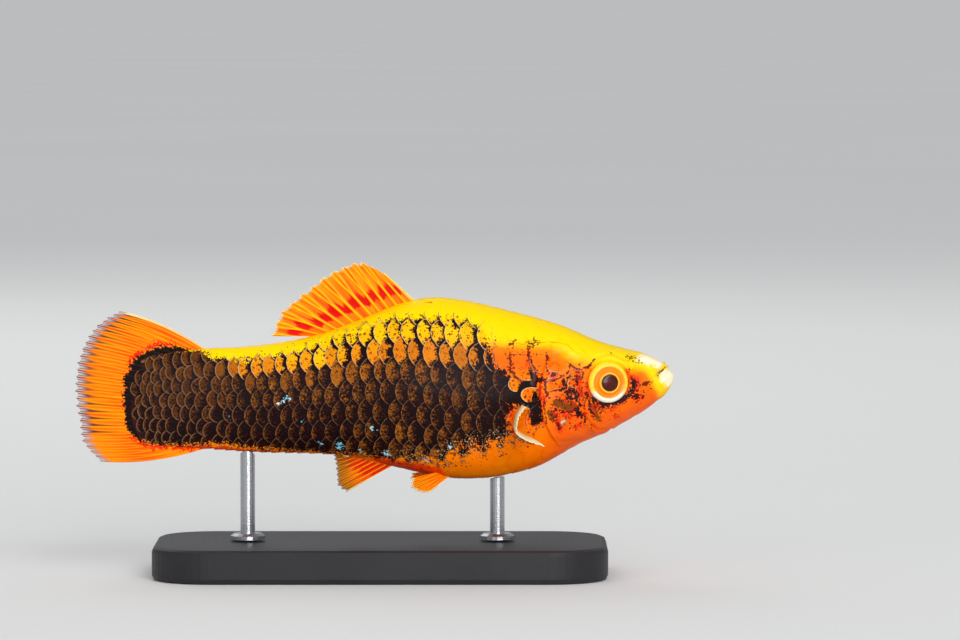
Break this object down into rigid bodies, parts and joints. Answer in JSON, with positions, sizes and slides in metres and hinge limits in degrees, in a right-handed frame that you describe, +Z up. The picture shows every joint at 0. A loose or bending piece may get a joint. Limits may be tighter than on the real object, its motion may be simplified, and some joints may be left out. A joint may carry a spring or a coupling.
{
  "type": "swordtail fish display model",
  "caption": "Life-size still model of a deep-bodied female swordtail, fins spread, held level above a flat display base on two short rods.",
  "frame": {"origin": "middle of the whole model's underside, on the surface that the display base stands on", "axes": "+X along the fish towards its snout, +Y towards the fish's left side, +Z up"},
  "size_m": [0.09, 0.034, 0.0472],
  "materials": {
    "skin": "satin",
    "scaled_flank": "satin",
    "fin": "satin",
    "eye": "glossy",
    "base": "matte",
    "rod": "satin"
  },
  "bodies": {
    "root": {"head": "skin", "torso": "scaled_flank", "tail_stalk": "scaled_flank", "gill_cover_left": "skin", "gill_cover_right": "skin", "eye_left": "eye", "eye_right": "eye", "dorsal_fin": "fin", "caudal_fin": "fin", "anal_fin": "fin", "pelvic_fin_left": "fin", "pelvic_fin_right": "fin", "pectoral_fin_left": "fin", "pectoral_fin_right": "fin", "stand_base": "base", "stand_rod_front": "rod", "stand_rod_rear": "rod"}
  },
  "joints": []
}
